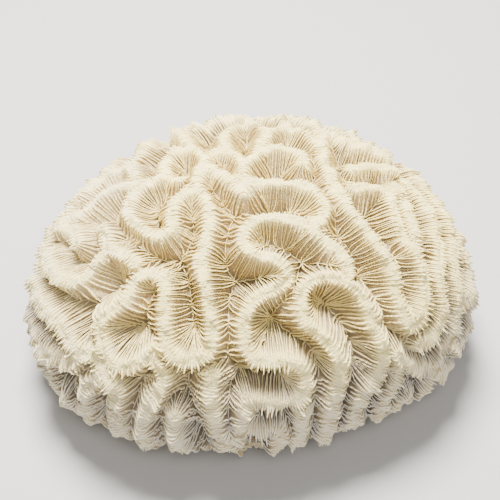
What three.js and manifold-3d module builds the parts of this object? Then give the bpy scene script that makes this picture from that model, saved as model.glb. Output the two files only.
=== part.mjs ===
// Brain coral: a cut and dried head of a stony coral with long winding valleys, grown as one piece.
// Millimetres, +Z up, origin at the middle of the flat cut underneath. The head is a low dome whose
// surface is folded into rounded walls about 20 mm apart, with valleys about 10 mm deep between them.
import * as THREE from 'three';
import { mergeVertices } from 'three/addons/utils/BufferGeometryUtils.js';
import Module from 'manifold-3d';

// Driving dimensions of the head.
const CROWN_RISE = 64; // widest level up to the crown
const UNDER_DROP = 36; // how far the underside would curve down if it wasn't cut
const CUT_BELOW = 26; // widest level down to the flat cut
// Radius of the widest level every 30 degrees from +X, turning left.
const OUTLINE = [94, 93, 94, 94, 92, 92, 96, 97, 91, 82, 83, 91];
const FLANK_FLAT = 0.04; // how much the front right flank is flattened
const FLANK_AZIMUTH = 318; // its direction, degrees
const FLANK_WIDE = 48; // how far the flattening reaches to each side, degrees
const WALL_HEIGHT = 10.2; // deepest valley floor below the wall crests
const SHOULDER = 2.8; // crest to the top of the slope, measured along the dome
const SHOULDER_ROUND = 1.2; // rounding where the slope starts
const SLOPE = 1.35; // fall of the slope
const OVERHANG = 0.5; // how far the valleys on the sides run up under the wall above
const FADE_START = 98; // where the walls begin to fade out underneath, degrees down from the crown
const FADE_END = 122; // and where they are gone
const SUBDIVISIONS = 20; // facets of the dome: 20 * (this + 1)^2 before the cut
const SNAP = 2.3; // facet corners this close to a crest line are moved onto it
const EVEN_ROUNDS = 4; // passes that even out the corners between the crest lines

// Crest lines of the walls, on the dome unrolled flat: [to the right, to the back] in degrees down from
// the crown. Each list is one wall, and walls join where lists meet.
const WALLS = [
  [[-19.5, -17], [-19.5, -12], [-19, -8], [-16.5, -5.5], [-13, -6], [-11.3, -10], [-11, -15],
   [-12, -21], [-13.5, -28], [-13, -35], [-12.5, -42], [-12, -49], [-13, -54.5], [-17, -57],
   [-21, -55.5], [-24, -51], [-24, -44], [-23, -37], [-22.5, -31]],
  [[-22.5, -31], [-24.5, -29], [-28, -29], [-30.5, -31], [-32.5, -34], [-36, -36.5], [-40, -38],
   [-42.5, -41], [-42.5, -45.5], [-41.5, -50], [-38, -53], [-33, -53.5], [-28.5, -51.5], [-24, -49]],
  [[-3, -7], [0, -4.5], [5, -4], [10.5, -4], [15, -6.5], [17, -11], [16.5, -15.5], [13.5, -18]],
  [[25, -30.5], [24.5, -28], [22, -25], [19, -23], [16, -20.5], [13.5, -18], [8, -17], [3, -17],
   [-1, -18.5], [-3, -22], [-3, -26], [0, -29], [4, -30], [7.5, -32], [9, -35.5], [6.5, -38.5],
   [2.5, -40.5], [-1, -43], [-3, -48], [-3, -54], [-0.5, -59], [5, -60], [11, -60], [15, -62.5],
   [17, -67], [16, -71.5], [11, -74], [5, -73.5], [-1, -73], [-4, -78], [-5, -85], [-8.5, -90],
   [-12.5, -88]],
  [[33, -94], [31.5, -86], [29.5, -77], [29, -70], [28.5, -64], [27.5, -59.5], [24, -55],
   [19.5, -51.5], [15, -48.5], [13, -44], [13.3, -39], [15.5, -35.5], [20, -33.5], [25, -34],
   [29.5, -36.5], [32.5, -40.5], [35.5, -45], [39.5, -49.5], [42.5, -55], [44, -60], [43, -65.5],
   [41.5, -71.5], [43, -79], [46, -87], [50, -95]],
  [[18.5, 28], [17.5, 20], [17, 12], [18, 4], [19, -2], [21, -6.5], [24, -11], [28, -15.5], [31, -19],
   [34.5, -23], [37.5, -27.5], [39.5, -31.5], [42, -35.5], [44.5, -39.5], [47.5, -40.5], [49.5, -37],
   [49.5, -32], [48, -27], [45.5, -21.5], [42.5, -17], [38.5, -13.5], [36.5, -8], [35.5, -3],
   [34, 1.5], [31, 1], [28, 0], [24, -1]],
  [[42.5, -17], [42, -11], [41, -5], [40, 1], [38, 6], [34, 1.5]],
  [[40, 15], [43, 12], [45, 8], [48.5, 2], [51, -4], [52, -10], [52.5, -16], [53.5, -21], [56, -26],
   [59, -31], [59.5, -36], [58, -41], [54, -45]],
  [[54, 20], [56, 12], [58, 4], [61, -5], [62, -12], [63, -18], [67, -24], [71, -30], [72, -37],
   [70, -44], [68, -50]],
  [[47, -51.5], [51, -53.5], [57, -53.5], [63, -52], [68, -50], [76, -50], [84, -46]],
  [[51, -53.5], [54, -58], [54, -63], [55, -70], [60, -77], [66, -85]],
  [[-29, -52.5], [-28, -56], [-27, -60.5], [-29.5, -64.5], [-34, -68.5], [-38, -73], [-41, -78],
   [-44, -84], [-49, -91]],
  [[-27, -74], [-28.5, -78], [-30, -83], [-31.5, -91], [-33, -100]],
  [[-13, -62.5], [-14, -68], [-14, -75], [-14, -83], [-12.5, -88], [-13, -94], [-12, -103]],
  [[-5, -85], [0, -86], [5, -85.5], [10, -86], [12, -90], [11, -97], [12, -105]],
  [[17.5, -78], [18.5, -83], [19, -90], [20, -99]],
  [[-50, -46.5], [-46.5, -47], [-45, -51.5], [-43, -56], [-42, -60], [-44, -64], [-48, -68],
   [-51, -74], [-56, -80], [-62, -86]],
  [[-44.5, -53], [-49, -55.5], [-54, -57.5], [-59, -60.5], [-64, -65], [-71, -71], [-78, -77]],
  [[-61, 27], [-64, 19], [-67, 11], [-69, 3], [-71, -5], [-72, -12], [-69, -19], [-65, -24.5],
   [-61, -29], [-57.5, -33], [-54.5, -37.5], [-53.5, -42], [-50, -46.5]],
  [[-92, 46], [-83, 43], [-76, 38], [-74, 30], [-77, 22], [-80, 14], [-83, 6], [-86, -3], [-87, -12],
   [-84, -20], [-79, -28], [-75, -34], [-71, -39], [-66, -43], [-61, -46], [-55.5, -47.5],
   [-50, -46.5]],
  [[-38.5, -11], [-37, -14], [-36, -18.5], [-32, -21.5], [-29, -25]],
  [[-36, -18.5], [-40, -21], [-43, -23.5], [-46.5, -25], [-51, -22.5], [-56, -18.5], [-60, -13],
   [-62, -7]],
  [[-56, -1], [-52, -4], [-48.5, -8], [-47, -12.5]],
  [[-27, 1], [-31, 3.5], [-36, 4.5], [-41, 4], [-46, 2], [-51, 0], [-56, -1], [-59, 4], [-59, 10]],
  [[-19.5, -17], [-22.5, -18.5], [-26.5, -15.5], [-30, -11], [-31.5, -6.5], [-30.5, -2], [-27, 1],
   [-22, 2], [-18.5, 0]],
  [[-22, 2], [-23.5, 7], [-24, 11], [-21, 14.5], [-16.5, 13.5], [-13.5, 9.5], [-13, 5], [-13.5, 0.5],
   [-14, -2.5], [-13, -6]],
  [[-13, 5], [-10.5, 2], [-8, -0.5], [-5.5, -3.5], [-3, -7]],
  [[-13.5, 9.5], [-11, 11.5], [-7.5, 10.5], [-4.5, 7], [-3, 3], [-3, -2], [-3, -7]],
  [[-3, 3], [-0.5, 8], [1.5, 14], [2.5, 20], [1.5, 26], [-3, 29], [-7.5, 25], [-8.5, 18], [-7.5, 10.5]],
  [[0.5, 11], [5, 11.5], [9, 11], [12, 8], [11.5, 4]],
  [[2.5, 20], [6, 24.5], [10.5, 25], [14, 21.5], [17, 15]],
  [[24.5, 7.5], [28, 9.5], [32, 12], [36, 14], [40, 15]],
  [[18.5, 28], [24, 23], [29, 23.5], [34, 25], [39, 26]],
  [[-31, 3.5], [-33, 9], [-35, 13], [-39, 16], [-44, 16.5], [-49, 15], [-53, 12]],
  [[-16.5, 13.5], [-19, 19], [-21, 26], [-17, 32], [-13, 37], [-7, 40.5], [0, 39.5], [5, 36], [8, 31],
   [10.5, 25]],
  [[18.5, 28], [17, 36], [13.5, 42], [9, 47], [8, 54], [11, 60], [18, 61], [23, 56.5], [24.5, 49],
   [28, 42], [31, 36], [30.5, 30], [29, 23.5]],
  [[39, 26], [40, 33], [40, 40], [37, 47], [34, 54], [35, 62], [41, 66], [48, 63], [53, 56], [53, 48],
   [51, 40], [51, 32], [54, 26], [54, 20]],
  [[-21, 26], [-23, 33], [-25, 40], [-22, 47], [-15, 51], [-8, 53], [-5, 59], [-8, 67], [-15, 71],
   [-23, 70], [-30, 65], [-35, 58], [-37, 50], [-36, 42], [-33, 34], [-33, 26], [-35, 19], [-39, 16]],
  [[-49, 15], [-47, 24], [-46, 32], [-48, 40], [-51, 48], [-57, 52], [-64, 50], [-64, 42], [-61, 35],
   [-61, 27]],
  [[-15, 71], [-14, 79], [-16, 88], [-14, 98], [-15, 106]],
  [[-30, 65], [-35, 72], [-38, 80], [-42, 88], [-46, 96]],
  [[2, 72], [0, 79], [2, 88], [0, 98], [1, 107]],
  [[15, 61], [18, 70], [17, 79], [19, 88], [17, 98], [19, 106]],
  [[31, 75], [33, 82], [31, 90], [34, 100]],
  [[45, 64.5], [48, 73], [47, 82], [52, 91]],
  [[53, 50], [60, 53], [66, 58], [68, 66], [73, 73], [80, 78]],
  [[53, 27], [61, 30], [66, 36], [67, 44], [73, 51], [82, 55], [92, 60]],
  [[67, -24], [73, -17], [73, -8], [70, 0], [70, 9], [75, 16], [75, 25], [80, 32], [90, 37], [100, 42]],
  [[72, -37], [80, -36], [88, -30], [90, -20], [87, -10], [89, 0], [98, 6], [106, 8]],
  [[89, 15], [97, 21], [105, 24]],
  [[84, -46], [93, -43], [103, -40]],
  [[88, -30], [98, -24], [106, -20]],
  [[75, -50], [80, -60], [88, -68]],
  [[69, -66], [76, -75], [80, -82]],
  [[-86, -3], [-96, 0], [-106, 2]],
  [[-80, 14], [-90, 20], [-101, 24]],
  [[-84, -20], [-94, -22], [-104, -24]],
  [[-75, -34], [-84, -40], [-95, -45]],
  [[-69, -41], [-77, -50], [-88, -59]],
  [[-72, -59], [-80, -67]],
  [[-57, 52], [-64, 60], [-68, 68], [-76, 76]],
  [[-77, 54], [-87, 61]],
  [[-50, 64], [-52, 72], [-56, 81], [-60, 89]],
  [[-27, 82], [-29, 91], [-30, 102]],];

const rad = THREE.MathUtils.degToRad;
const smoothstep = THREE.MathUtils.smoothstep;

// Catmull-Rom between four numbers.
function blend(a, b, c, d, f) {
  return 0.5 * (2 * b + (c - a) * f + (2 * a - 5 * b + 4 * c - d) * f * f + (3 * b - a - 3 * c + d) * f ** 3);
}

// Radius of the head at its widest level, in the direction azimuth (radians).
function outlineRadius(azimuth) {
  const n = OUTLINE.length;
  const turn = (azimuth / (2 * Math.PI)) * n;
  const i = Math.floor(turn);
  const at = (k) => OUTLINE[(((i + k) % n) + n) % n];
  return blend(at(-1), at(0), at(1), at(2), turn - i);
}

// Point of the smooth dome that touches every wall crest, for unrolled coordinates in degrees.
function domePoint(s, t) {
  const down = rad(Math.hypot(s, t));
  const azimuth = Math.atan2(t, s);
  const turn = azimuth - rad(FLANK_AZIMUTH);
  const away = Math.min(Math.abs(Math.atan2(Math.sin(turn), Math.cos(turn))) / rad(FLANK_WIDE), 1);
  const flat = 1 - FLANK_FLAT * (1 - smoothstep(away, 0, 1)) * smoothstep(down, rad(50), rad(88));
  const r = outlineRadius(azimuth) * flat * Math.sin(down);
  const z = (down < Math.PI / 2 ? CROWN_RISE : UNDER_DROP) * Math.cos(down);
  return new THREE.Vector3(r * Math.cos(azimuth), r * Math.sin(azimuth), z);
}

// Outward normal of the smooth dome.
function domeNormal(s, t) {
  const across = domePoint(s + 0.5, t).sub(domePoint(s - 0.5, t));
  const back = domePoint(s, t + 0.5).sub(domePoint(s, t - 0.5));
  return across.cross(back).normalize();
}

// Stations about 1 mm apart along every wall crest, as unrolled coordinates and dome points.
function crestStations() {
  const stations = [];
  for (const wall of WALLS) {
    const curve = new THREE.CatmullRomCurve3(wall.map(([s, t]) => new THREE.Vector3(s, t, 0)));
    const steps = Math.ceil(curve.getLength() * 1.3);
    for (const p of curve.getSpacedPoints(steps)) stations.push({ s: p.x, t: p.y, at: domePoint(p.x, p.y) });
  }
  return stations;
}

// The way the valleys are sunk into the dome: straight in near the crown, and tilted up the side lower
// down, so that the walls there hang over like shelves.
function inward(s, t) {
  const uphill = domePoint(s * 0.995, t * 0.995).sub(domePoint(s, t)).normalize();
  const tilt = OVERHANG * smoothstep(Math.hypot(s, t), 15, 65);
  return uphill.multiplyScalar(tilt).sub(domeNormal(s, t));
}

// Depth of the relief below the dome at a distance from the nearest crest: a rounded crest with a shoulder
// on each side, then a straight steep slope that levels out on the valley floor. The walls fade out where
// the head curves in underneath.
function reliefDepth(distance, down) {
  const soft = (x) => 0.5 * (Math.hypot(x, SHOULDER_ROUND) + x);
  const slope = SLOPE * (soft(distance - SHOULDER) - soft(-SHOULDER));
  const floor = WALL_HEIGHT * Math.cbrt(Math.tanh((slope / WALL_HEIGHT) ** 3));
  return floor * (1 - smoothstep(down, FADE_START, FADE_END));
}

// Angle down the dome, in degrees, that leaves facets of about one size: the facets of a ball shared out
// by the dome's own area, with the last few gathered in the part that is cut away.
function evenAngle() {
  const last = 142;
  const area = [0];
  for (let d = 1; d <= last; d++) {
    const a = rad(d - 0.5);
    const side = Math.cos(a) > 0 ? CROWN_RISE : UNDER_DROP;
    area.push(area[d - 1] + Math.sin(a) * Math.hypot(91 * Math.cos(a), side * Math.sin(a)));
  }
  const gather = 168;
  return (fromTop) => {
    if (fromTop > gather) return last + ((fromTop - gather) / (180 - gather)) * (180 - last);
    const share = (area[last] * (1 - Math.cos(rad(fromTop)))) / (1 - Math.cos(rad(gather)));
    let d = 1;
    while (d < last && area[d] < share) d++;
    return d - 1 + (share - area[d - 1]) / (area[d] - area[d - 1]);
  };
}

// The crest station nearest to a point of the dome, and its distance.
function nearestCrest(stations, p) {
  let nearest = stations[0];
  let best = Infinity;
  for (const station of stations) {
    const d = station.at.distanceToSquared(p);
    if (d < best) {
      best = d;
      nearest = station;
    }
  }
  return [nearest, Math.sqrt(best)];
}

// Corners of the facets that share an edge with each corner.
function neighbourLists(geometry) {
  const lists = Array.from({ length: geometry.getAttribute('position').count }, () => new Set());
  const index = geometry.index.array;
  for (let i = 0; i < index.length; i += 3) {
    for (let k = 0; k < 3; k++) {
      lists[index[i + k]].add(index[i + ((k + 1) % 3)]);
      lists[index[i + ((k + 1) % 3)]].add(index[i + k]);
    }
  }
  return lists.map((list) => [...list]);
}

// Puts the corners nearest to the crest lines onto them, so that edges run along every wall, then evens
// out the corners between.
function followCrests(corners, neighbours, stations) {
  for (const corner of corners) {
    corner.on = false;
    [corner.crest, corner.distance] = nearestCrest(stations, domePoint(corner.s, corner.t));
  }
  const near = corners.filter((corner) => corner.distance < SNAP && corner.down < 112);
  near.sort((a, b) => a.distance - b.distance);
  for (const corner of near) {
    const taken = neighbours[corner.id].some(
      (id) => corners[id].on && corners[id].crest.at.distanceTo(corner.crest.at) < SNAP * 0.8
    );
    if (taken) continue;
    corner.on = true;
    corner.s = corner.crest.s;
    corner.t = corner.crest.t;
  }
  for (let round = 0; round < EVEN_ROUNDS; round++) {
    for (const corner of corners) {
      if (corner.on || corner.down > 112) continue;
      const around = neighbours[corner.id];
      const s = around.reduce((sum, id) => sum + corners[id].s, 0) / around.length;
      const t = around.reduce((sum, id) => sum + corners[id].t, 0) / around.length;
      corner.s += 0.5 * (s - corner.s);
      corner.t += 0.5 * (t - corner.t);
    }
  }
}

// The whole folded head before the cut: a closed surface.
function foldedDome() {
  const ball = new THREE.IcosahedronGeometry(1, SUBDIVISIONS);
  ball.deleteAttribute('normal');
  ball.deleteAttribute('uv');
  const dome = mergeVertices(ball, 1e-5);
  const position = dome.getAttribute('position');
  const stations = crestStations();
  const angleDown = evenAngle();
  const corners = [];
  for (let id = 0; id < position.count; id++) {
    const v = new THREE.Vector3().fromBufferAttribute(position, id).normalize();
    const down = angleDown(THREE.MathUtils.radToDeg(Math.acos(v.z)));
    const azimuth = Math.atan2(v.y, v.x);
    corners.push({ id, down, s: down * Math.cos(azimuth), t: down * Math.sin(azimuth) });
  }
  followCrests(corners, neighbourLists(dome), stations);
  for (const corner of corners) {
    const p = domePoint(corner.s, corner.t);
    const down = Math.hypot(corner.s, corner.t);
    const distance = corner.on ? 0 : nearestCrest(stations, p)[1];
    if (down < 140) p.addScaledVector(inward(corner.s, corner.t), reliefDepth(distance, down));
    position.setXYZ(corner.id, p.x, p.y, p.z);
  }
  return dome;
}

// A closed geometry as a solid for cutting.
function solid(wasm, geometry) {
  const vertProperties = new Float32Array(geometry.getAttribute('position').array);
  const triVerts = new Uint32Array(geometry.index.array);
  return new wasm.Manifold(new wasm.Mesh({ numProp: 3, vertProperties, triVerts }));
}

// Box that takes away everything below the flat cut.
function cuttingBox() {
  const box = new THREE.BoxGeometry(300, 300, 100).translate(0, 0, -CUT_BELOW - 50);
  box.deleteAttribute('normal');
  box.deleteAttribute('uv');
  return mergeVertices(box, 1e-5);
}

// The head, cut flat and moved so that the middle of its box is over the origin and the cut is at z = 0.
async function coralHead() {
  const wasm = await Module();
  wasm.setup();
  const cut = solid(wasm, foldedDome()).subtract(solid(wasm, cuttingBox())).getMesh();
  const geometry = new THREE.BufferGeometry();
  geometry.setAttribute('position', new THREE.BufferAttribute(new Float32Array(cut.vertProperties), 3));
  geometry.setIndex(new THREE.BufferAttribute(new Uint32Array(cut.triVerts), 1));
  geometry.computeBoundingBox();
  const middle = geometry.boundingBox.getCenter(new THREE.Vector3());
  geometry.translate(-middle.x, -middle.y, CUT_BELOW);
  geometry.computeVertexNormals();
  const skeleton = new THREE.MeshStandardMaterial({ color: 0xcec3ae, roughness: 0.9, metalness: 0 });
  const mesh = new THREE.Mesh(geometry, skeleton);
  mesh.name = 'coral_head';
  return mesh;
}

const brainCoral = new THREE.Group();
brainCoral.name = 'brain_coral';
brainCoral.add(await coralHead());

export default brainCoral;
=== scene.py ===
"""Brain coral: the dried, cut head of a stony coral with long winding valleys, lined with thin septa."""
import math

import bpy
import numpy as np
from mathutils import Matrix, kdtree


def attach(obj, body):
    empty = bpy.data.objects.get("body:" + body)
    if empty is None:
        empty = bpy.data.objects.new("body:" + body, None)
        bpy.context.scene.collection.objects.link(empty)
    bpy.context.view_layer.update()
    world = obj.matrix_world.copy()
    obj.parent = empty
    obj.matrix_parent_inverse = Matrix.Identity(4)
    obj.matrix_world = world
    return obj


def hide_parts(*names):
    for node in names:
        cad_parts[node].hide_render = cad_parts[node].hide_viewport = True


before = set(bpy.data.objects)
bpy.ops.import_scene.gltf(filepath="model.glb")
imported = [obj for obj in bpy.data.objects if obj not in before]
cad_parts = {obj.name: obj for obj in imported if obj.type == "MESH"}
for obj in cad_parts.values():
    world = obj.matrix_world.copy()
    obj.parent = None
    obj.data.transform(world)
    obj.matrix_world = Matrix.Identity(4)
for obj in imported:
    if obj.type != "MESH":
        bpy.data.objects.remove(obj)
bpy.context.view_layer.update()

# ---------------------------------------------------------------------------------------------------
# The head itself. One continuous skeleton of calcium carbonate, grown outwards from the rock: a low
# dome folded into rounded walls about 20 mm apart, with steep-sided valleys between them. It was taken
# off its rock with one flat cut, and stands on that cut.
# ---------------------------------------------------------------------------------------------------
CROWN_RISE = 64.0      # mm, widest level up to the crown
UNDER_DROP = 36.0      # mm, how far the underside would curve down if it wasn't cut
CUT_BELOW = 26.0       # mm, widest level down to the flat cut
CUT_ANGLE = math.degrees(math.acos(-CUT_BELOW / UNDER_DROP))  # degrees down from the crown
MEAN_RADIUS = 91.0     # mm, of the widest level
OUTLINE = [94, 93, 94, 94, 92, 92, 96, 97, 91, 82, 83, 91]  # mm, every 30 degrees from +X, turning left
FLANK_FLAT = 0.04      # how much the front right flank is flattened
FLANK_AZIMUTH = 318.0  # degrees, its direction
FLANK_WIDE = 48.0      # degrees, how far the flattening reaches to each side
FLANK_DOWN = (50.0, 88.0)     # degrees down from the crown where the flattening starts and is full
MIDDLE = np.array([-1.122, 5.549, -CUT_BELOW])  # mm, the frame's origin in the dome's own axes
WALL_HEIGHT = 10.2     # mm, deepest valley floor below the wall crests
WALL_REACH = 10.5      # mm along the dome from a crest to where a valley is deepest in colour
WALL_UNEVEN = 0.17     # share by which walls are wider in one place and narrower in another
WALL_FADE = (98.0, 122.0)     # degrees down where the walls begin to fade out and are gone
SHADE_FADE = (102.0, 118.0)   # degrees down where the valleys' painted shade fades out
SHOULDER = 2.8         # mm, crest to the top of the slope
SHOULDER_ROUND = 1.2   # mm, rounding where the slope starts
SLOPE = 1.35           # fall of the slope
OVERHANG = 0.50        # how far the valleys on the sides run up under the wall above
OVERHANG_DOWN = (15.0, 65.0)  # degrees down where the overhang starts and is full
LOWER_SIDE = (62.0, 92.0)     # degrees down where the head turns from its top to its steep side
GAP_CREST = 0.05       # mm, how deep the gaps between septa are on the crests at the top
GAP_CREST_LOW = 0.42   # mm, how much deeper they are on the crests of the steep side
GAP_SLOPE = 1.70       # mm, how much deeper they are on the slopes
GAP_WORN = 0.6         # share of that which wear has taken
GAP_STARTS = (1.6, 4.2)       # mm from a crest where the gaps begin to deepen and have their full depth
GAP_FADE = (108.0, 130.0)     # degrees down where the gaps get shallow again
WORN_LEFT = (22.0, 48.0)      # degrees left of the crown where the septa begin to be worn and are most so
WORN_BACK = (-55.0, -5.0)     # the same towards the back, in degrees behind the crown
WORN_DOWN = (78.0, 96.0)      # degrees down where the wear ends
CREST_PITCH = 0.4      # mm between the points that stand for the crests in searches
KNOT_STEPS = 16        # steps of a curve between two of a wall's points
HEAD_FACETS = 88       # the head is 20 * this squared facets
BALL_RIM = 170.0       # degrees down the ball of facets that become the rim of the cut
UPSLOPE_SINK = 1.2       # mm, how much deeper the gaps between septa sink on slopes that face up
UPSLOPE_SIDE = (1.8, 4.5)        # mm from a crest where those deeper gaps and their painted shade begin and are full
UPSLOPE_DOWN = (5.0, 35.0)       # degrees down where slopes begin to face up enough for it and do so fully
RIBS = 150             # fine ribs around the underside
RIBS_FROM = (116.0, 124.0)    # degrees down where they begin and are full
RIBS_END = 128.0       # degrees down where they begin to fade towards the cut
SWELLS = 0.6           # mm, height of the broadest lumps
KNOBS = 0.55           # mm, of lumps the size of a wall
PEBBLES = 0.2          # mm, of lumps the size of a few septa
GRAINS = 0.08          # mm, of the finest lumps, on the skeleton only

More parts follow.
